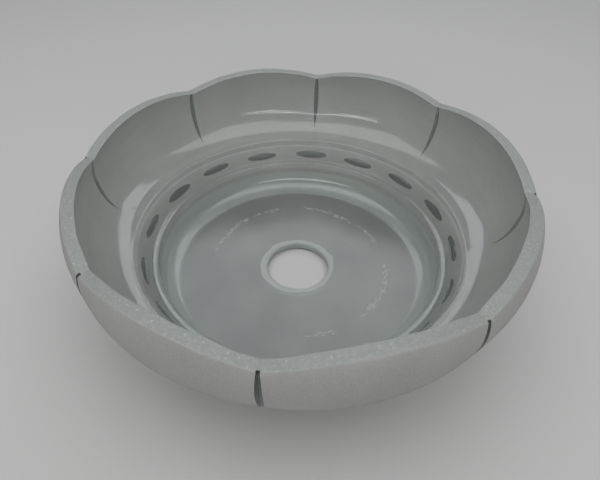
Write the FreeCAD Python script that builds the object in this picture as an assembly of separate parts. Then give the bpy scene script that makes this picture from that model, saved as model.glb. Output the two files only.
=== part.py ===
"""Art glass bowl: one piece of pressed and cut glass, open at the top, with a hole in its floor.

The inside and the outside follow the same line, one wall thickness apart. From the rim down
that line is a bulging wall, a bend, a corner, a sloping step, a ledge, a well and a floor.
The rim is ground flat in eight arches that meet in notches. A mitre cut runs down the outside
from each notch, and sixteen oval cuts go round the outside of the sloping step.
Millimetres, +Z up, origin at the centre of the face that the bowl stands on.
"""
import FreeCAD, Part
import math
import os

V = FreeCAD.Vector
UP = V(0, 0, 1)

# Wall and bend, measured on the outside in a plane through the axis
glass = 6.5                      # thickness of the wall and the bend
belly_radius = 134.8             # the widest part of the bowl
belly_height = 71.2
wall_curve = 44.2                # radius of the bulging wall
wall_end_angle = 28.0            # where the wall becomes the bend, in degrees below the belly
bend_curve = 28.8                # radius of the bend
blank_angle = 33.0               # how far the wall runs up before the rim is ground

# Step, ledge and well under the bend
step_glass = 5.2                 # thickness of the sloping step
step_slope = 32.0                # degrees by which the step leans out from the vertical
corner_round = 1.5               # inner corner where the bend drops into the step
underside_hollow = 2.5           # outer hollow corner between the bend and the step
ledge_height = 28.0
ledge_fillet = 2.5
ledge_round = 3.0                # inner edge of the ledge
well_radius = 90.3
well_glass = 6.0                 # thickness of the well's wall, which is the foot
foot_hollow = 2.5                # outer hollow corner between the step and the foot

# Floor and hole
floor_at_hole = 5.4
floor_at_edge = 8.0              # the floor is a shallow dish
floor_fillet = 11.0              # the floor sweeps up into the well's wall
hole_radius = 21.0
hole_chamfer = 0.7
foot_inner_radius = 83.0         # the bowl stands on a flat ring outside this
foot_round = 3.0
recess_depth = 0.8               # the underside inside the ring is raised by this

# Rim
petals = 8
pitch = 360.0 / petals
notch_drift = (-1.0, 2.0, 0.5, 0.0, 0.5, 0.0, -0.5, -1.0)   # degrees from an even spacing
notch_height = 83.0
crest_height = 89.5

# Mitre cuts, one below each notch
mitre_half_angle = 62.0
mitre_depth_rim = 0.5
mitre_depth_middle = 0.9
mitre_middle_angle = 12.0        # where the cut is deepest, in degrees below the belly
mitre_tip_angle = 54.0           # where the cut runs out, in degrees below the bend's centre
mitre_reach = 4.0                # how far the cutter stands out of the surface
mitre_overrun = 12.0             # degrees by which the cutter runs past both ends of the cut

# Oval cuts round the sloping step
ovals = 16
oval_height = 29.5
oval_depth = 0.65
oval_wheel_radius = 6.0
oval_lead = 1.5                  # degrees by which the ovals sit ahead of the notches
oval_cutter_length = 60.0
oval_cutter_height = 8.0
seam_azimuth = 12.5              # the turned surfaces start here, clear of every cut

# Cutters for the rim
arch_cutter_reach = 175.0        # from the axis to past the widest part of the bowl
arch_cutter_height = 20.0

# Points that follow from the driving dimensions
wall_centre = V(belly_radius - wall_curve, 0, belly_height)


def polar(centre, radius, degrees):
    """A point in the XZ plane, at an angle below the horizontal through the centre."""
    turn = math.radians(degrees)
    return centre + V(radius * math.cos(turn), 0, -radius * math.sin(turn))


bend_centre = polar(wall_centre, wall_curve - bend_curve, wall_end_angle)
bend_underside = bend_centre.z - bend_curve
bend_top = bend_underside + glass
foot_radius = well_radius + well_glass
notch_radius = wall_centre.x + math.sqrt(wall_curve ** 2 - (notch_height - belly_height) ** 2)

# The step's two faces, as their radius at the height of the ledge
slope = math.radians(step_slope)
corner_reach = corner_round * math.tan((math.pi / 2.0 - slope) / 2.0)
step_inside = bend_centre.x - corner_reach - (bend_top - ledge_height) * math.tan(slope)
step_outside = step_inside + step_glass / math.cos(slope)
step_normal = V(math.cos(slope), 0, -math.sin(slope))
step_along = V(math.sin(slope), 0, math.cos(slope))


def on_step(height):
    """The point of the step's outer face at a height."""
    return V(step_outside + (height - ledge_height) * math.tan(slope), 0, height)


def hollow_under_bend():
    """Centre of the hollow corner that touches the bend and the step's outer face."""
    base = on_step(bend_underside) + step_normal * underside_hollow - bend_centre
    reach = bend_curve + underside_hollow
    half = base.dot(step_along)
    shift = -half - math.sqrt(half ** 2 - base.dot(base) + reach ** 2)
    return bend_centre + base + step_along * shift


def notch_azimuth(index):
    """Direction of a notch about the axis, in degrees."""
    return pitch * index + notch_drift[index % petals]


def arc(centre, radius, start, end):
    """An arc in the XZ plane between two angles below the horizontal."""
    middle = polar(centre, radius, (start + end) / 2.0)
    return Part.Arc(polar(centre, radius, start), middle, polar(centre, radius, end)).toShape()


def line(r1, z1, r2, z2):
    """A straight edge in the XZ plane."""
    return Part.makeLine(V(r1, 0, z1), V(r2, 0, z2))


def outside_edges():
    """The outer line from the top of the wall down to the foot ring."""
    hollow_centre = hollow_under_bend()
    to_hollow = hollow_centre - bend_centre
    bend_end = math.degrees(math.atan2(-to_hollow.z, to_hollow.x))
    step_top = hollow_centre - step_normal * underside_hollow
    foot_reach = foot_hollow * math.tan(slope / 2.0)
    foot_top = ledge_height - (step_outside - foot_radius) / math.tan(slope) - foot_reach
    foot_hollow_centre = V(foot_radius + foot_hollow, 0, foot_top)
    step_end = foot_hollow_centre - step_normal * foot_hollow
    foot_centre = V(foot_radius - foot_round, 0, foot_round)
    return [
        arc(wall_centre, wall_curve, -blank_angle, wall_end_angle),
        arc(bend_centre, bend_curve, wall_end_angle, bend_end),
        arc(hollow_centre, underside_hollow, 180.0 + bend_end, 180.0 + step_slope),
        Part.makeLine(step_top, step_end),
        arc(foot_hollow_centre, foot_hollow, 180.0 + step_slope, 180.0),
        line(foot_radius, foot_top, foot_radius, foot_centre.z),
        arc(foot_centre, foot_round, 0.0, 90.0),
    ]


def underside_edges():
    """The foot ring, the recess inside it and the wall of the hole."""
    recess_edge = foot_inner_radius - recess_depth
    hole_edge = hole_radius + hole_chamfer
    return [
        line(foot_radius - foot_round, 0, foot_inner_radius, 0),
        line(foot_inner_radius, 0, recess_edge, recess_depth),
        line(recess_edge, recess_depth, hole_edge, recess_depth),
        line(hole_edge, recess_depth, hole_radius, recess_depth + hole_chamfer),
        line(hole_radius, recess_depth + hole_chamfer, hole_radius, floor_at_hole - hole_chamfer),
        line(hole_radius, floor_at_hole - hole_chamfer, hole_edge, floor_at_hole),
    ]


def inside_edges():
    """The inner line from the hole out across the floor and up to the top of the wall."""
    hole_edge = hole_radius + hole_chamfer
    floor_edge = well_radius - floor_fillet
    middle = (hole_edge + floor_edge) / 2.0
    rise = floor_at_edge - floor_at_hole
    dish = (middle ** 2 - hole_edge ** 2) / (floor_edge ** 2 - hole_edge ** 2)
    floor_centre = V(floor_edge, 0, floor_at_edge + floor_fillet)
    edge_centre = V(well_radius + ledge_round, 0, ledge_height - ledge_round)
    fillet_reach = ledge_fillet * math.tan((math.pi / 2.0 - slope) / 2.0)
    fillet_centre = V(step_inside - fillet_reach, 0, ledge_height + ledge_fillet)
    corner_centre = V(bend_centre.x, 0, bend_top - corner_round)
    step_foot = polar(fillet_centre, ledge_fillet, step_slope)
    step_head = polar(corner_centre, corner_round, 180.0 + step_slope)
    floor = Part.Arc(
        V(hole_edge, 0, floor_at_hole),
        V(middle, 0, floor_at_hole + rise * dish),
        V(floor_edge, 0, floor_at_edge),
    )
    return [
        floor.toShape(),
        arc(floor_centre, floor_fillet, 90.0, 0.0),
        line(well_radius, floor_centre.z, well_radius, edge_centre.z),
        arc(edge_centre, ledge_round, 180.0, 270.0),
        line(edge_centre.x, ledge_height, fillet_centre.x, ledge_height),
        arc(fillet_centre, ledge_fillet, 90.0, step_slope),
        Part.makeLine(step_foot, step_head),
        arc(corner_centre, corner_round, 180.0 + step_slope, 270.0),
        arc(bend_centre, bend_curve - glass, 90.0, wall_end_angle),
        arc(wall_centre, wall_curve - glass, wall_end_angle, -blank_angle),
    ]


def bowl_blank():
    """The bowl turned about its axis, with the wall still too tall."""
    top_inner = polar(wall_centre, wall_curve - glass, -blank_angle)
    top_outer = polar(wall_centre, wall_curve, -blank_angle)
    edges = outside_edges() + underside_edges() + inside_edges()
    edges.append(Part.makeLine(top_inner, top_outer))
    outline = Part.Wire(Part.__sortEdges__(edges))
    blank = Part.Face(outline).revolve(V(0, 0, 0), UP, 360)
    blank.rotate(V(0, 0, 0), UP, seam_azimuth)
    return blank


def rim_cutter(index):
    """The space above one arch of the rim, between two notches."""
    start = notch_azimuth(index)
    end = notch_azimuth(index + 1)
    half = (end - start) / 2.0
    half_chord = notch_radius * math.sin(math.radians(half))
    rise = crest_height - notch_height
    arch_radius = (half_chord ** 2 + rise ** 2) / (2.0 * rise)
    reach = arch_cutter_reach
    side = reach * math.tan(math.radians(half))
    base = notch_height - rise
    sector = Part.makePolygon([
        V(0, 0, base),
        V(reach, -side, base),
        V(reach, side, base),
        V(0, 0, base),
    ])
    wedge = Part.Face(sector).extrude(UP * arch_cutter_height)
    arch = Part.makeCylinder(arch_radius, reach, V(0, 0, crest_height - arch_radius), V(1, 0, 0))
    cutter = wedge.cut(arch)
    cutter.rotate(V(0, 0, 0), UP, start + half)
    return cutter


def mitre_cutter(azimuth):
    """A V-edged ring that cuts a groove down the outside, deepest in its middle."""
    notch_angle = -math.degrees(math.asin((notch_height - belly_height) / wall_curve))
    rim_point = polar(wall_centre, wall_curve - mitre_depth_rim, notch_angle)
    middle_point = polar(wall_centre, wall_curve - mitre_depth_middle, mitre_middle_angle)
    tip_point = polar(bend_centre, bend_curve, mitre_tip_angle)
    centre = Part.Circle(rim_point, middle_point, tip_point).Center
    to_rim = rim_point - centre
    span = math.degrees(to_rim.getAngle(tip_point - centre))
    half_width = mitre_reach * math.tan(math.radians(mitre_half_angle))
    base = rim_point + to_rim.normalize() * mitre_reach
    section = Part.makePolygon([
        rim_point,
        base + V(0, half_width, 0),
        base - V(0, half_width, 0),
        rim_point,
    ])
    face = Part.Face(section)
    face.rotate(centre, V(0, 1, 0), -mitre_overrun)
    ring = face.revolve(centre, V(0, 1, 0), span + 2.0 * mitre_overrun)
    ring.rotate(V(0, 0, 0), UP, azimuth)
    return ring


def oval_cutter(azimuth):
    """The part of a wheel, lying along the step, that cuts a shallow oval into its outer face."""
    deepest = on_step(oval_height) - step_normal * oval_depth
    half_height = oval_cutter_height / 2.0
    drop = oval_wheel_radius - math.sqrt(oval_wheel_radius ** 2 - half_height ** 2)
    side = V(0, -oval_cutter_length / 2.0, 0)
    low = deepest + step_normal * drop - step_along * half_height + side
    high = deepest + step_normal * drop + step_along * half_height + side
    rim = Part.Arc(low, deepest + side, high).toShape()
    segment = Part.Face(Part.Wire([rim, Part.makeLine(high, low)]))
    cutter = segment.extrude(V(0, oval_cutter_length, 0))
    cutter.rotate(V(0, 0, 0), UP, azimuth)
    return cutter


def glass_bowl():
    """The whole bowl."""
    arches = [rim_cutter(index) for index in range(petals)]
    mitres = [mitre_cutter(notch_azimuth(index)) for index in range(petals)]
    thumb_cuts = [oval_cutter(360.0 / ovals * index + oval_lead) for index in range(ovals)]
    bowl = bowl_blank()
    for cutters in (arches, mitres, thumb_cuts):
        bowl = bowl.cut(cutters)
    return bowl.Solids[0]


os.makedirs("parts", exist_ok=True)
bowl = glass_bowl()
bowl.exportStep("parts/glass_bowl.step")
box = bowl.optimalBoundingBox(False, False)
print("bowl valid", bowl.isValid(), "closed", bowl.isClosed(), "volume cm3", round(bowl.Volume / 1000.0, 1))
size = [round(length, 2) for length in (box.XLength, box.YLength, box.ZLength)]
print("size mm", size, "lowest", round(box.ZMin, 3))
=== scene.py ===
"""Looks of the art glass bowl: one piece of pressed glass, frosted outside and satin inside.

The bowl's mesh is worked out from the same driving sizes as the CAD model, as a grid of rows
along the cross-section and columns round the axis, so that it can also have what the CAD model
leaves plain: the gentle lobes of the wall, the rounded and chipped edges of the rim and uneven
hand cutting. Everything is in millimetres until the mesh is made, and Blender's unit is a metre.
"""

import math

import bpy
import numpy as np
from mathutils import Matrix, Vector


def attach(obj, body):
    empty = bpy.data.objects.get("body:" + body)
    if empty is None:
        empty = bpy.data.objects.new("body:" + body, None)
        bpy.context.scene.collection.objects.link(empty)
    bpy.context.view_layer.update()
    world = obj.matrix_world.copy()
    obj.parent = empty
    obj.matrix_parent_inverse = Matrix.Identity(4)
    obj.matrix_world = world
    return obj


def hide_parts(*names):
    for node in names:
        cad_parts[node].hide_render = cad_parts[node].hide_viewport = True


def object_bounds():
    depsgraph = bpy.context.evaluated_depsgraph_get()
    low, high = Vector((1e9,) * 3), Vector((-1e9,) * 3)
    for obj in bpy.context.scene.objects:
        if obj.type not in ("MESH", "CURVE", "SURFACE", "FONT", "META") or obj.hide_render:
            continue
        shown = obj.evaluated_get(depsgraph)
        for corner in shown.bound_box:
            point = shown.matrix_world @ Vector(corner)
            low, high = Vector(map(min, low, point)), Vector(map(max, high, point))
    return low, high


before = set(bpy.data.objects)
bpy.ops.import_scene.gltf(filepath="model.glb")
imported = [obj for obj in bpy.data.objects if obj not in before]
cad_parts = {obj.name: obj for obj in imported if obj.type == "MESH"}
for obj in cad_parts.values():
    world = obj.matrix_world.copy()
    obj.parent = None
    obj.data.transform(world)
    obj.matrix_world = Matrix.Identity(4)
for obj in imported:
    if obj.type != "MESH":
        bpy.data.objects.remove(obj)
cad_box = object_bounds()

MM = 0.001

# Wall and bend, measured on the outside in a plane through the axis
GLASS = 6.5
BELLY_RADIUS = 134.8
BELLY_HEIGHT = 71.2
WALL_CURVE = 44.2
WALL_END = math.radians(28.0)
BEND_CURVE = 28.8
WALL_CENTRE = np.array([BELLY_RADIUS - WALL_CURVE, BELLY_HEIGHT])
BEND_CENTRE = WALL_CENTRE + (WALL_CURVE - BEND_CURVE) * np.array([math.cos(WALL_END), -math.sin(WALL_END)])

# Step, ledge, floor and hole
BEND_UNDERSIDE = BEND_CENTRE[1] - BEND_CURVE
BEND_TOP = BEND_UNDERSIDE + GLASS
STEP_GLASS = 5.2
STEP_SLOPE = math.radians(32.0)
CORNER_ROUND = 1.5
UNDERSIDE_HOLLOW = 2.5
LEDGE_HEIGHT = 28.0
LEDGE_FILLET = 2.5
LEDGE_ROUND = 3.0
WELL_RADIUS = 90.3
WELL_GLASS = 6.0
FOOT_HOLLOW = 2.5
BEAD_HEIGHT = 22.9               # a fine line that the mould's joint leaves round the well
BEAD_SIZE = 0.5
BEAD_RISE = 0.22
FLOOR_AT_HOLE = 5.4
FLOOR_AT_EDGE = 8.0
FLOOR_FILLET = 11.0
HOLE_RADIUS = 21.0
HOLE_CHAMFER = 0.7
FOOT_INNER_RADIUS = 83.0
FOOT_ROUND = 3.0
RECESS_DEPTH = 0.8
FOOT_RADIUS = WELL_RADIUS + WELL_GLASS
CORNER_REACH = CORNER_ROUND * math.tan((math.pi / 2.0 - STEP_SLOPE) / 2.0)
STEP_INSIDE = BEND_CENTRE[0] - CORNER_REACH - (BEND_TOP - LEDGE_HEIGHT) * math.tan(STEP_SLOPE)
STEP_OUTSIDE = STEP_INSIDE + STEP_GLASS / math.cos(STEP_SLOPE)
STEP_NORMAL = np.array([math.cos(STEP_SLOPE), -math.sin(STEP_SLOPE)])
STEP_ALONG = np.array([math.sin(STEP_SLOPE), math.cos(STEP_SLOPE)])

# Rim
PETALS = 8
NOTCH_DRIFT = (-1.0, 2.0, 0.5, 0.0, 0.5, 0.0, -0.5, -1.0)
NOTCH_HEIGHT = 83.0
CREST_HEIGHT = 89.5
RIM_ROUND = 0.9
RIM_WEAR = 0.55                  # how much the rim's rounded edges vary
LOBE_DEPTH = 1.1                 # how far the wall stands in at a notch
LOBE_ROUNDING = 0.10             # how soft the ridge between two lobes is, as a share of a petal
LOBE_FADE = 8.0                  # the lobes die out above the bend and below the belly over this
OUTER_EDGE_WAVES = (5, 11, 23, 41)
INNER_EDGE_WAVES = (7, 13, 29, 37)
OUTER_EDGE_SEED = 3
INNER_EDGE_SEED = 4

# Mitre cuts and oval cuts
MITRE_HALF_ANGLE = math.radians(62.0)
MITRE_DEPTHS = (0.5, 0.9, 0.0)
MITRE_MIDDLE = math.radians(12.0)
MITRE_TIP = math.radians(54.0)
OVALS = 16
OVAL_HEIGHT = 29.5
OVAL_DEPTH = 0.65
OVAL_WHEEL = 6.0
OVAL_LEAD = 1.5
OVAL_TURN_DRIFT = 1.0            # degrees either way
OVAL_HEIGHT_DRIFT = 0.4
OVAL_DEPTH_DRIFT = 0.06

NOT_CUT = -1.0
CUT_SEED = 5
SHARP_FROM = math.radians(24.0)  # a steeper fold is a crisp edge

# Glass finishes, with painted shade in the cuts, painted light on the foot and painted glints on the rim: a
# pair is the two ends of a cloudy or speckled mix
INSIDE_TINT = ((0.82, 0.835, 0.83, 1.0), (0.88, 0.89, 0.885, 1.0))
FLOOR_TINT = ((0.60, 0.61, 0.615, 1.0), (0.78, 0.79, 0.79, 1.0))
OUTSIDE_TINT = ((0.47, 0.462, 0.45, 1.0), (0.63, 0.62, 0.605, 1.0))
GROUND_TINT = ((0.34, 0.365, 0.35, 1.0), (0.42, 0.445, 0.43, 1.0))
# the scuffs and the hole's ring are real wear; on the ground rim the same pale tint makes specks that are
# painted glints
SCUFF_AND_GLINT_TINT = (0.80, 0.86, 0.84, 1.0)
# painted light: the foot's outside is painted pale, brightening the well wall, which sits in the shade
# under the bend; the thick foot glass is also less clear
FOOT_PAINTED_LIGHT_TINT = (0.86, 0.87, 0.86, 1.0)
# painted shade: the polished cuts are tinted near black, standing in for the dark shade seen through them
CUT_PAINTED_SHADE_TINT = (0.02, 0.032, 0.026, 1.0)
SATIN_ROUGHNESS = (0.05, 0.11)
FLOOR_ROUGHNESS = (0.14, 0.24)
MATTE_ROUGHNESS = (0.42, 0.60)
GROUND_ROUGHNESS = 0.55
POLISHED_ROUGHNESS = 0.03
SATIN_CLEARNESS = 0.94
MATTE_CLEARNESS = (0.40, 0.60)
GROUND_CLEARNESS = 0.35
SCUFF_CLEARNESS = 0.60
FOOT_CLEARNESS = 0.05
REFRACTION = 1.51
BODY_TINT = (0.76, 0.86, 0.81, 1.0)
BODY_DENSITY = 22.0              # how fast the body's tint deepens, per metre of glass

# Wear, and the pale foot, which is painted light
POLISH_EDGE = 0.04               # depth at which a cut is fully polished
SCUFF_RADIUS = 60.0              # a broken ring of scuffs on the floor
SCUFF_WIDTH = 3.2
SCUFF_WANDER = 6.0
SCUFF_SHARE = 0.6
HOLE_RING = (3.6, 5.0)           # the pale ring round the hole is full up to the first, gone at the second
FOOT_PAINTED_LIGHT_TOP = 20.0             # the foot is painted pale outside up to this height, after a fade: painted light
FOOT_FADE = 4.0
FOOT_LEAD = 3.0


# ---- The grid's columns ----

def notch_azimuths():
    """Directions of the notches about the axis, in degrees, with the first repeated at the end."""
    even = 360.0 / PETALS * np.arange(PETALS)
    drifted = even + np.array(NOTCH_DRIFT)
    return np.append(drifted, drifted[0] + 360.0)


def columns():
    """Azimuths of the grid's columns in degrees: even between notches, and close together at a cut."""
    notches = notch_azimuths()
    near = np.array([0.0, 0.08, 0.16, 0.25, 0.35, 0.46, 0.58, 0.70, 0.85, 1.02, 1.25, 1.55])
    steps = 38
    found = []
    for start, end in zip(notches[:-1], notches[1:]):
        middle = np.linspace(start + near[-1], end - near[-1], steps)
        found += list(start + near[:-1]) + list(middle) + list(end - near[:0:-1])
    return np.array(found)


def petal_share(azimuth):
    """Where each column lies between its two notches, from 0 to 1, and half its petal's angle."""
    notches = notch_azimuths()
    turned = (azimuth - notches[0]) % 360.0 + notches[0]
    index = np.clip(np.searchsorted(notches, turned, side="right") - 1, 0, PETALS - 1)
    width = notches[index + 1] - notches[index]
    return (turned - notches[index]) / width, np.radians(width / 2.0)


AZIMUTH = columns()
SHARE, HALF_PETAL = petal_share(AZIMUTH)
NOTCH_RADIUS = WALL_CENTRE[0] + math.sqrt(WALL_CURVE ** 2 - (NOTCH_HEIGHT - BELLY_HEIGHT) ** 2)


def rim_height():
    """Height of the rim at each column: an arch over each petal."""
    half_chord = NOTCH_RADIUS * np.sin(HALF_PETAL)
    rise = CREST_HEIGHT - NOTCH_HEIGHT
    arch = (half_chord ** 2 + rise ** 2) / (2.0 * rise)
    across = NOTCH_RADIUS * np.sin((2.0 * SHARE - 1.0) * HALF_PETAL)
    return CREST_HEIGHT - arch + np.sqrt(arch ** 2 - across ** 2)


def lobe():
    """How far the wall stands in at each column, from 0 at mid petal to 1 at a notch."""
    off_middle = 2.0 * SHARE - 1.0
    from_notch = 1.0 - np.abs(off_middle)
    softened = np.sqrt(from_notch ** 2 + LOBE_ROUNDING ** 2) - LOBE_ROUNDING
    reach = math.sqrt(1.0 + LOBE_ROUNDING ** 2) - LOBE_ROUNDING
    return (1.0 - softened / reach) ** 2


# ---- The grid's rows ----

class Section:
    """The closed cross-section, collected row by row for every column at once."""

    def __init__(self):
        self.radius, self.height = [], []
        self.frost, self.ground, self.run = [], [], []

    def add(self, radius, height, frost, ground=0.0, run=NOT_CUT):
        """A row. run is its distance from the notch down the outside, where a mitre cut can be."""
        for store, value in ((self.radius, radius), (self.height, height), (self.frost, frost),
                             (self.ground, ground), (self.run, run)):
            store.append(np.broadcast_to(value, AZIMUTH.shape).astype(float))

    def arc(self, centre, radius, start, end, rows, frost, run=None):
        """Rows along an arc, without its first point. Angles are below the horizontal."""
        for t in np.linspace(0.0, 1.0, rows + 1)[1:]:
            turn = start + (end - start) * t
            distance = NOT_CUT if run is None else run(turn)
            across, up = centre[0] + radius * np.cos(turn), centre[1] - radius * np.sin(turn)
            self.add(across, up, frost, run=distance)

    def line(self, start, end, rows, frost, ground=0.0):
        """Rows along a straight line, without its first point."""
        for t in np.linspace(0.0, 1.0, rows + 1)[1:]:
            across, up = start[0] + (end[0] - start[0]) * t, start[1] + (end[1] - start[1]) * t
            self.add(across, up, frost, ground)


def wander(waves, seed):
    """A smooth random value between about -1 and 1 that closes up round the bowl."""
    roll = np.random.default_rng(seed)
    turn = np.radians(AZIMUTH)
    phases = roll.uniform(0.0, math.tau, len(waves))
    return sum(np.sin(turn * wave + phase) for wave, phase in zip(waves, phases)) / math.sqrt(len(waves))


NOTCH_ANGLE = math.asin((NOTCH_HEIGHT - BELLY_HEIGHT) / WALL_CURVE)
WALL_RUN = WALL_CURVE * (NOTCH_ANGLE + WALL_END)


def wall_run(turn):
    return WALL_CURVE * (turn + NOTCH_ANGLE)


def bend_run(turn):
    return np.full(AZIMUTH.shape, WALL_RUN + BEND_CURVE * (turn - WALL_END))


def hollow_under_bend():
    """Centre of the hollow corner that touches the bend and the step's outer face."""
    face = np.array([STEP_OUTSIDE + (BEND_UNDERSIDE - LEDGE_HEIGHT) * math.tan(STEP_SLOPE), BEND_UNDERSIDE])
    base = face + STEP_NORMAL * UNDERSIDE_HOLLOW - BEND_CENTRE
    half = base @ STEP_ALONG
    shift = -half - math.sqrt(half ** 2 - base @ base + (BEND_CURVE + UNDERSIDE_HOLLOW) ** 2)
    return BEND_CENTRE + base + STEP_ALONG * shift


def rim_edge(section, corner, along_top, along_wall, size, rows, ground_end, frost):
    """Rows round one edge of the rim, from its top to the wall."""
    for t in np.linspace(0.0, 1.0, rows + 1):
        weights = ((1 - t) ** 2, 2 * t * (1 - t), t ** 2)
        points = (corner + along_top * size, corner, corner + along_wall * size)
        radius, height = sum(w * p for w, p in zip(weights, points))
        section.add(radius, height, frost, 1.0 - t * (1.0 - ground_end), run=0.0 if frost else NOT_CUT)


def cross_section():
    """All rows in order: rim top, outside, underside, hole, floor and inside."""
    height = rim_height()
    rise = height - BELLY_HEIGHT
    outer_turn = np.arcsin(rise / WALL_CURVE)
    inner_curve = WALL_CURVE - GLASS
    inner_turn = np.arcsin(rise / inner_curve)
    outer_corner = np.array([WALL_CENTRE[0] + WALL_CURVE * np.cos(outer_turn), height])
    inner_corner = np.array([WALL_CENTRE[0] + inner_curve * np.cos(inner_turn), height])
    outer_round = RIM_ROUND * (1.0 + RIM_WEAR * wander(OUTER_EDGE_WAVES, OUTER_EDGE_SEED))
    inner_round = RIM_ROUND * (1.0 + RIM_WEAR * wander(INNER_EDGE_WAVES, INNER_EDGE_SEED))
    inward = np.array([[-1.0], [0.0]])
    down_outer = np.array([np.sin(outer_turn), -np.cos(outer_turn)])
    down_inner = np.array([np.sin(inner_turn), -np.cos(inner_turn)])

    s = Section()
    rim_edge(s, outer_corner, inward, down_outer, outer_round, 4, 0.0, 1.0)
    s.arc(WALL_CENTRE, WALL_CURVE, outer_round / WALL_CURVE - outer_turn, WALL_END, 24, 1.0, wall_run)
    hollow_centre = hollow_under_bend()
    to_hollow = hollow_centre - BEND_CENTRE
    bend_end = math.atan2(-to_hollow[1], to_hollow[0])
    s.arc(BEND_CENTRE, BEND_CURVE, WALL_END, bend_end, 20, 1.0, bend_run)

    quarter = math.pi / 2
    foot_reach = FOOT_HOLLOW * math.tan(STEP_SLOPE / 2.0)
    foot_top = LEDGE_HEIGHT - (STEP_OUTSIDE - FOOT_RADIUS) / math.tan(STEP_SLOPE) - foot_reach
    foot_hollow = np.array([FOOT_RADIUS + FOOT_HOLLOW, foot_top])
    s.arc(hollow_centre, UNDERSIDE_HOLLOW, math.pi + bend_end, math.pi + STEP_SLOPE, 4, 1.0)
    first = len(s.radius)
    s.line(hollow_centre - STEP_NORMAL * UNDERSIDE_HOLLOW, foot_hollow - STEP_NORMAL * FOOT_HOLLOW, 24, 1.0)
    s.step_rows = slice(first, len(s.radius))
    s.arc(foot_hollow, FOOT_HOLLOW, math.pi + STEP_SLOPE, math.pi, 3, 1.0)
    s.line((FOOT_RADIUS, foot_top), (FOOT_RADIUS, FOOT_ROUND), 3, 1.0)
    s.arc((FOOT_RADIUS - FOOT_ROUND, FOOT_ROUND), FOOT_ROUND, 0.0, quarter, 5, 1.0)

    recess_edge = FOOT_INNER_RADIUS - RECESS_DEPTH
    hole_edge = HOLE_RADIUS + HOLE_CHAMFER
    s.line((FOOT_RADIUS - FOOT_ROUND, 0.0), (FOOT_INNER_RADIUS, 0.0), 1, 1.0)
    s.line((FOOT_INNER_RADIUS, 0.0), (recess_edge, RECESS_DEPTH), 1, 1.0)
    s.line((recess_edge, RECESS_DEPTH), (hole_edge, RECESS_DEPTH), 5, 1.0)
    s.line((hole_edge, RECESS_DEPTH), (HOLE_RADIUS, RECESS_DEPTH + HOLE_CHAMFER), 1, 1.0, 1.0)
    hole_top = (HOLE_RADIUS, FLOOR_AT_HOLE - HOLE_CHAMFER)
    s.line((HOLE_RADIUS, RECESS_DEPTH + HOLE_CHAMFER), hole_top, 2, 1.0, 1.0)
    s.line(hole_top, (hole_edge, FLOOR_AT_HOLE), 1, 1.0, 1.0)

    floor_edge = WELL_RADIUS - FLOOR_FILLET
    for radius in np.linspace(hole_edge, floor_edge, 19)[1:]:
        dish = (radius ** 2 - hole_edge ** 2) / (floor_edge ** 2 - hole_edge ** 2)
        s.add(radius, FLOOR_AT_HOLE + (FLOOR_AT_EDGE - FLOOR_AT_HOLE) * dish, 0.0)
    s.arc((floor_edge, FLOOR_AT_EDGE + FLOOR_FILLET), FLOOR_FILLET, quarter, 0.0, 9, 0.0)
    s.line((WELL_RADIUS, FLOOR_AT_EDGE + FLOOR_FILLET), (WELL_RADIUS, BEAD_HEIGHT - BEAD_SIZE), 1, 0.0)
    s.line((WELL_RADIUS, BEAD_HEIGHT - BEAD_SIZE), (WELL_RADIUS - BEAD_RISE, BEAD_HEIGHT), 2, 0.0)
    s.line((WELL_RADIUS - BEAD_RISE, BEAD_HEIGHT), (WELL_RADIUS, BEAD_HEIGHT + BEAD_SIZE), 2, 0.0)
    s.line((WELL_RADIUS, BEAD_HEIGHT + BEAD_SIZE), (WELL_RADIUS, LEDGE_HEIGHT - LEDGE_ROUND), 1, 0.0)
    ledge_edge = WELL_RADIUS + LEDGE_ROUND
    fillet_reach = LEDGE_FILLET * math.tan((quarter - STEP_SLOPE) / 2.0)
    fillet = np.array([STEP_INSIDE - fillet_reach, LEDGE_HEIGHT + LEDGE_FILLET])
    corner = np.array([BEND_CENTRE[0], BEND_TOP - CORNER_ROUND])
    s.arc((ledge_edge, LEDGE_HEIGHT - LEDGE_ROUND), LEDGE_ROUND, math.pi, 3 * quarter, 7, 0.0)
    s.arc(fillet, LEDGE_FILLET, quarter, STEP_SLOPE, 6, 0.0)
    s.line(fillet + STEP_NORMAL * LEDGE_FILLET, corner - STEP_NORMAL * CORNER_ROUND, 5, 0.0)
    s.arc(corner, CORNER_ROUND, math.pi + STEP_SLOPE, 3 * quarter, 6, 0.0)
    s.arc(BEND_CENTRE, BEND_CURVE - GLASS, quarter, WALL_END, 20, 0.0)
    s.arc(WALL_CENTRE, inner_curve, WALL_END, inner_round / inner_curve - inner_turn, 23, 0.0)

    inner_rows = Section()
    rim_edge(inner_rows, inner_corner, -inward, down_inner, inner_round, 4, 0.0, 0.0)
    for store in ("radius", "height", "frost", "ground", "run"):
        getattr(s, store).extend(reversed(getattr(inner_rows, store)))
    start = inner_corner[0] + inner_round
    end = outer_corner[0] - outer_round
    for t in (0.25, 0.5, 0.75):
        s.add(start + (end - start) * t, height, 1.0, 1.0)
    return s


def smooth(value, low, high):
    """A soft step from 0 to 1 between two values."""
    t = np.clip((value - low) / (high - low), 0.0, 1.0)
    return t * t * (3.0 - 2.0 * t)


def nearest(azimuth, marks):
    """Signed angle in degrees from the nearest of some directions, and which one it is."""
    gap = (azimuth[:, None] - marks[None, :] + 180.0) % 360.0 - 180.0
    index = np.abs(gap).argmin(axis=1)
    return gap[np.arange(len(azimuth)), index], index


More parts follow.
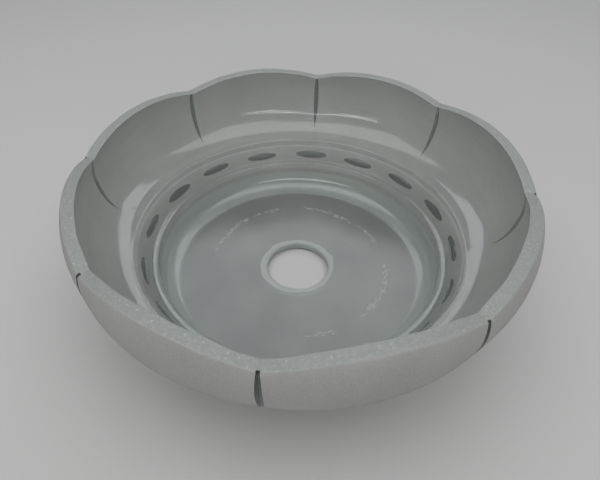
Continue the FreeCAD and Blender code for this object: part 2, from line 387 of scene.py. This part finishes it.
def mitre_depths(radius, run):
    """Depth of the mitre cuts: a curve through three depths, less the V's slope to each side."""
    off_notch, _ = nearest(AZIMUTH, notch_azimuths()[:-1])
    aside = np.abs(np.radians(off_notch))[None, :] * radius
    tip = WALL_RUN + BEND_CURVE * (MITRE_TIP - WALL_END)
    middle = WALL_CURVE * (NOTCH_ANGLE + MITRE_MIDDLE)
    curve = np.polyfit((0.0, middle, tip), MITRE_DEPTHS, 2)
    depth = np.polyval(curve, run) - aside / math.tan(MITRE_HALF_ANGLE)
    return np.where((run >= 0.0) & (run <= tip), depth, NOT_CUT)


def oval_depths(height, step_rows):
    """Depth of the oval cuts: each is a wheel laid along the step's outer face."""
    roll = np.random.default_rng(CUT_SEED)
    turn_drift = roll.uniform(-OVAL_TURN_DRIFT, OVAL_TURN_DRIFT, OVALS)
    height_drift = roll.uniform(-OVAL_HEIGHT_DRIFT, OVAL_HEIGHT_DRIFT, OVALS)
    depth_drift = roll.uniform(-OVAL_DEPTH_DRIFT, OVAL_DEPTH_DRIFT, OVALS)
    marks = 360.0 / OVALS * np.arange(OVALS) + OVAL_LEAD + turn_drift
    off_oval, which = nearest(AZIMUTH, marks)
    face_radius = STEP_OUTSIDE + (OVAL_HEIGHT - LEDGE_HEIGHT) * math.tan(STEP_SLOPE)
    sideways = np.radians(off_oval) * face_radius
    hollowed = sideways ** 2 * math.cos(STEP_SLOPE) / (2.0 * face_radius)
    centres = (OVAL_HEIGHT + height_drift[which])[None, :]
    along = (height[step_rows] - centres) / math.cos(STEP_SLOPE)
    middle_depth = (OVAL_DEPTH + depth_drift[which] - hollowed)[None, :]
    depth = np.full(height.shape, NOT_CUT)
    depth[step_rows] = middle_depth - along ** 2 / (2.0 * OVAL_WHEEL)
    return depth


def shape_grid():
    """The grid's points and its three masks, with lobes, mitre cuts and oval cuts worked in."""
    s = cross_section()
    radius, height = np.array(s.radius), np.array(s.height)
    frost, ground, run = np.array(s.frost), np.array(s.ground), np.array(s.run)

    in_wall = smooth(height, BEND_UNDERSIDE + LOBE_FADE, BELLY_HEIGHT - LOBE_FADE) * (radius > STEP_INSIDE)
    radius = radius - LOBE_DEPTH * lobe()[None, :] * in_wall

    mitre = mitre_depths(radius, run)
    across = np.roll(radius, -1, 0) - np.roll(radius, 1, 0)
    up = np.roll(height, -1, 0) - np.roll(height, 1, 0)
    length = np.hypot(across, up)
    cut = np.maximum(mitre, 0.0)
    radius = radius + cut * up / length
    height = height - cut * across / length

    oval = oval_depths(height, s.step_rows)
    sunk = np.maximum(oval, 0.0)
    radius = radius - sunk * STEP_NORMAL[0]
    height = height - sunk * STEP_NORMAL[1]
    return radius, height, frost, ground, np.maximum(mitre, oval)


def bowl_mesh():
    """The bowl as one closed mesh with its masks as attributes."""
    radius, height, frost, ground, polish = shape_grid()
    turn = np.radians(AZIMUTH)[None, :]
    points = np.stack([radius * np.cos(turn), radius * np.sin(turn), height], axis=-1) * MM
    rows, cols = radius.shape
    index = np.arange(rows * cols).reshape(rows, cols)
    below, beside = np.roll(index, -1, 0), np.roll(index, -1, 1)
    corner = np.roll(below, -1, 1)
    faces = np.stack([index, below, corner, beside], axis=-1).reshape(-1, 4)

    mesh = bpy.data.meshes.new("glass_bowl_cut")
    mesh.from_pydata(points.reshape(-1, 3).tolist(), [], faces.tolist())
    for name, values in (("frost", frost), ("ground", ground), ("polish", polish)):
        layer = mesh.attributes.new(name, "FLOAT", "POINT")
        layer.data.foreach_set("value", values.ravel().astype(np.float32))
    mesh.shade_smooth()
    mesh.set_sharp_from_angle(angle=SHARP_FROM)
    mesh.validate()
    bowl = bpy.data.objects.new("glass_bowl_cut", mesh)
    bpy.context.scene.collection.objects.link(bowl)
    return bowl


# ---- Materials ----

class Nodes:
    """Short ways to make and join shader nodes."""

    def __init__(self, name):
        self.material = bpy.data.materials.new(name)
        self.material.use_nodes = True
        self.tree = self.material.node_tree
        self.shader = self.tree.nodes["Principled BSDF"]
        self.output = self.tree.nodes["Material Output"]

    def feed(self, socket, value):
        if isinstance(value, bpy.types.NodeSocket):
            self.tree.links.new(value, socket)
        else:
            socket.default_value = value

    def node(self, kind, inputs=(), **settings):
        made = self.tree.nodes.new(kind)
        for key, value in settings.items():
            setattr(made, key, value)
        for key, value in dict(inputs).items():
            self.feed(made.inputs[key], value)
        return made

    def maths(self, operation, a, b=0.0, clamp=False):
        return self.node("ShaderNodeMath", {0: a, 1: b}, operation=operation, use_clamp=clamp).outputs[0]

    def attribute(self, name):
        return self.node("ShaderNodeAttribute", attribute_name=name).outputs["Fac"]

    def step(self, value, low, high, smooth_ends=True):
        """A value from 0 to 1 between two limits."""
        kind = "SMOOTHSTEP" if smooth_ends else "LINEAR"
        inputs = {"Value": value, "From Min": low, "From Max": high}
        return self.node("ShaderNodeMapRange", inputs, interpolation_type=kind).outputs["Result"]

    def mix(self, share, a, b):
        """A blend of two numbers."""
        made = self.node("ShaderNodeMix", {0: share, 2: a, 3: b}, data_type="FLOAT")
        return made.outputs[0]

    def mix_colour(self, share, a, b):
        made = self.node("ShaderNodeMix", {0: share, 6: a, 7: b}, data_type="RGBA")
        return made.outputs[2]

    def noise(self, vector, scale, detail=3.0, roughness=0.55):
        inputs = {"Vector": vector, "Scale": scale, "Detail": detail, "Roughness": roughness}
        return self.node("ShaderNodeTexNoise", inputs).outputs["Fac"]


def times(n, *values):
    """The product of several masks."""
    product = values[0]
    for value in values[1:]:
        product = n.maths("MULTIPLY", product, value)
    return product


def wear_and_painted_light_masks(n, place, inner, rough_side):
    """Where the glass is scuffed, where the well's floor is, and where the foot is painted pale outside as
    painted light on the shaded well.
    """
    flat = n.node("ShaderNodeVectorMath", {0: place, 1: (1.0, 1.0, 0.0)}, operation="MULTIPLY").outputs[0]
    out = n.node("ShaderNodeVectorMath", {0: flat}, operation="LENGTH").outputs["Value"]
    parts = n.node("ShaderNodeSeparateXYZ", {0: place}).outputs
    turn = n.maths("ARCTAN2", parts["Y"], parts["X"])

    # A ring of scuffs on the floor that wanders, is broken and is streaked along its way round
    sway = n.maths("MULTIPLY", n.maths("SUBTRACT", n.noise(place, 60.0), 0.5), SCUFF_WANDER * MM)
    swaying = n.maths("ADD", out, sway)
    off_ring = n.maths("ABSOLUTE", n.maths("SUBTRACT", swaying, SCUFF_RADIUS * MM))
    near_ring = n.step(off_ring, SCUFF_WIDTH * MM, 0.0)
    broken = n.step(n.noise(place, 21.0, 2.0), 0.46, 0.62)
    swept = {"X": n.maths("MULTIPLY", out, 1100.0), "Y": n.maths("MULTIPLY", turn, 16.0)}
    swept = n.node("ShaderNodeCombineXYZ", swept).outputs[0]
    streaks = n.step(n.noise(swept, 1.0, 4.0, 0.7), 0.44, 0.66)
    ring = times(n, near_ring, broken, streaks, inner)

    full, gone = HOLE_RING
    hole_ring = n.step(swaying, (HOLE_RADIUS + gone) * MM, (HOLE_RADIUS + full) * MM)
    scuffs = n.maths("MAXIMUM", ring, times(n, hole_ring, n.mix(inner, 1.0, 0.8)))
    on_floor = times(n, n.step(out, WELL_RADIUS * MM, (WELL_RADIUS - FLOOR_FILLET) * MM), inner)
    foot_side = n.step(out, (FOOT_INNER_RADIUS - FOOT_LEAD) * MM, FOOT_INNER_RADIUS * MM)
    foot_low = n.step(parts["Z"], FOOT_PAINTED_LIGHT_TOP * MM, (FOOT_PAINTED_LIGHT_TOP - FOOT_FADE) * MM)
    return scuffs, on_floor, times(n, foot_side, foot_low, rough_side)


def glass_relief(n, place, inner, rough_side, speckled, on_floor, grain, ground):
    """Chill marks level round the inside, a wavy floor, the acid's fine grain and the rim's pits."""
    level = n.node("ShaderNodeMapping", {"Vector": place, "Scale": (6.0, 6.0, 420.0)}).outputs[0]
    ripple = times(n, n.noise(level, 1.0, 2.0), inner, 0.20)
    waves = times(n, n.noise(place, 30.0, 1.0), on_floor)
    grit = times(n, grain, n.mix(rough_side, 0.005, 0.02))
    pits = times(n, speckled, ground, 0.30)
    relief = n.maths("ADD", n.maths("ADD", ripple, waves), n.maths("ADD", grit, pits))
    bump = n.node("ShaderNodeBump", {"Height": relief, "Strength": 0.5, "Distance": MM})
    return bump.outputs[0]


def glass_material():
    """Pressed glass: frosted outside, satin inside, with a ground rim and polished cuts, which are tinted
    near black as painted shade.
    """
    n = Nodes("cut_frosted_glass")
    place = n.node("ShaderNodeTexCoord").outputs["Object"]
    frost = n.attribute("frost")
    ground = n.attribute("ground")
    inner = n.maths("SUBTRACT", 1.0, frost)
    polish = n.step(n.attribute("polish"), 0.0, POLISH_EDGE)
    rough_side = times(n, frost, n.maths("SUBTRACT", 1.0, polish))
    scuffs, on_floor, foot_painted_light = wear_and_painted_light_masks(n, place, inner, rough_side)

    cloud = n.noise(place, 26.0, 4.0)
    grain = n.noise(place, 1500.0, 2.0, 0.7)
    mottle = n.noise(place, 700.0, 4.0, 0.65)
    speckled = n.step(mottle, 0.35, 0.68)

    inside = n.mix_colour(cloud, *INSIDE_TINT)
    inside = n.mix_colour(on_floor, inside, n.mix_colour(n.step(cloud, 0.3, 0.7), *FLOOR_TINT))
    frosting = n.step(n.mix(0.6, cloud, grain), 0.36, 0.64, False)
    ground_tint = n.mix_colour(speckled, *GROUND_TINT)
    # painted glints: pale specks on the ground rim stand in for its sparkle
    ground_tint = n.mix_colour(n.step(mottle, 0.64, 0.72), ground_tint, SCUFF_AND_GLINT_TINT)
    colour = n.mix_colour(frost, inside, n.mix_colour(frosting, *OUTSIDE_TINT))
    colour = n.mix_colour(ground, colour, ground_tint)
    # painted light: the foot's outside is painted pale to brighten the well wall in the shade under the
    # bend
    colour = n.mix_colour(foot_painted_light, colour, FOOT_PAINTED_LIGHT_TINT)
    colour = n.mix_colour(times(n, scuffs, SCUFF_SHARE), colour, SCUFF_AND_GLINT_TINT)
    # painted shade: the cuts' near-black tint stands in for the dark shade seen through the clear glass
    n.feed(n.shader.inputs["Base Color"], n.mix_colour(polish, colour, CUT_PAINTED_SHADE_TINT))

    satin = n.mix(on_floor, n.mix(cloud, *SATIN_ROUGHNESS), n.mix(cloud, *FLOOR_ROUGHNESS))
    roughness = n.mix(frost, satin, n.mix(mottle, *MATTE_ROUGHNESS))
    roughness = n.mix(n.maths("MAXIMUM", ground, scuffs), roughness, GROUND_ROUGHNESS)
    n.feed(n.shader.inputs["Roughness"], n.mix(polish, roughness, POLISHED_ROUGHNESS))

    clearness = n.mix(frost, SATIN_CLEARNESS, n.mix(grain, *MATTE_CLEARNESS))
    clearness = n.mix(ground, clearness, GROUND_CLEARNESS)
    clearness = n.mix(foot_painted_light, clearness, FOOT_CLEARNESS)
    clearness = n.mix(scuffs, clearness, SCUFF_CLEARNESS)
    n.feed(n.shader.inputs["Transmission Weight"], n.mix(polish, clearness, 1.0))
    n.shader.inputs["IOR"].default_value = REFRACTION

    relief = glass_relief(n, place, inner, rough_side, speckled, on_floor, grain, ground)
    n.feed(n.shader.inputs["Normal"], relief)

    body = n.node("ShaderNodeVolumeAbsorption")
    body.inputs["Color"].default_value = BODY_TINT
    body.inputs["Density"].default_value = BODY_DENSITY
    n.feed(n.output.inputs["Volume"], body.outputs[0])
    return n.material


def floor_material():
    """A plain pale surface."""
    n = Nodes("pale_floor")
    place = n.node("ShaderNodeTexCoord").outputs["Object"]
    colour = n.mix_colour(n.noise(place, 3.0), (0.47, 0.466, 0.462, 1.0), (0.49, 0.486, 0.482, 1.0))
    n.feed(n.shader.inputs["Base Color"], colour)
    n.shader.inputs["Roughness"].default_value = 0.75
    return n.material


# ---- The bowl ----

bowl = bowl_mesh()
bowl.data.materials.append(glass_material())
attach(bowl, "root")
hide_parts("glass_bowl")


# ---- Floor, light and camera, in metres ----

FLOOR_SIZE = 6.0
FLOOR_GAP = 0.0002
LIT_POINT = Vector((0.0, 0.0, 0.04))


def add_floor():
    """The surface that the bowl stands on, just clear of its foot."""
    mesh = bpy.data.meshes.new("floor")
    half = FLOOR_SIZE / 2.0
    corners = [(-half, -half, 0), (half, -half, 0), (half, half, 0), (-half, half, 0)]
    mesh.from_pydata(corners, [], [(0, 1, 2, 3)])
    floor = bpy.data.objects.new("floor", mesh)
    floor.location.z = cad_box[0][2] - FLOOR_GAP
    bpy.context.scene.collection.objects.link(floor)
    mesh.materials.append(floor_material())


def add_light(name, place, size, energy, colour=(1.0, 1.0, 1.0)):
    """A rectangular light turned to the bowl."""
    data = bpy.data.lights.new(name, "AREA")
    data.shape = "RECTANGLE"
    data.size, data.size_y = size
    data.energy = energy
    data.color = colour
    light = bpy.data.objects.new(name, data)
    light.location = place
    light.rotation_euler = (LIT_POINT - Vector(place)).to_track_quat("-Z", "Y").to_euler()
    bpy.context.scene.collection.objects.link(light)


def add_world(strength):
    """Even light from all round."""
    world = bpy.data.worlds.new("studio")
    world.use_nodes = True
    background = world.node_tree.nodes["Background"]
    background.inputs["Color"].default_value = (0.87, 0.88, 0.90, 1.0)
    background.inputs["Strength"].default_value = strength
    bpy.context.scene.world = world


def add_camera():
    """The view from in front and above: a wide lens, close to the bowl."""
    azimuth, distance, height = math.radians(-84.13), 0.2296, 0.2480
    heading, pitch, roll = math.radians(98.21), math.radians(-43.37), math.radians(-0.44)
    data = bpy.data.cameras.new("camera")
    data.lens = 28.79
    data.sensor_width = 36.0
    data.shift_x = 0.0267
    data.shift_y = -0.0033
    data.clip_start = 0.01
    camera = bpy.data.objects.new("camera", data)
    place = Vector((distance * math.cos(azimuth), distance * math.sin(azimuth), height))
    level = Vector((math.cos(heading), math.sin(heading), 0.0)) * math.cos(pitch)
    forward = level + Vector((0.0, 0.0, math.sin(pitch)))
    aim = forward.to_track_quat("-Z", "Y").to_matrix().to_4x4()
    camera.matrix_world = Matrix.Translation(place) @ aim @ Matrix.Rotation(roll, 4, "Z")
    bpy.context.scene.collection.objects.link(camera)
    bpy.context.scene.camera = camera


add_floor()
add_world(0.24)
add_light("overhead", place=(0.0, -0.15, 1.3), size=(2.4, 1.1), energy=16.0)
add_light("back_strip", place=(0.0, 1.05, 1.15), size=(1.5, 0.35), energy=4.2, colour=(0.93, 0.97, 1.0))
add_light("front_strip", place=(0.0, -1.35, 0.62), size=(2.4, 0.16), energy=5.5)
add_camera()

bpy.context.scene.view_settings.view_transform = "Standard"
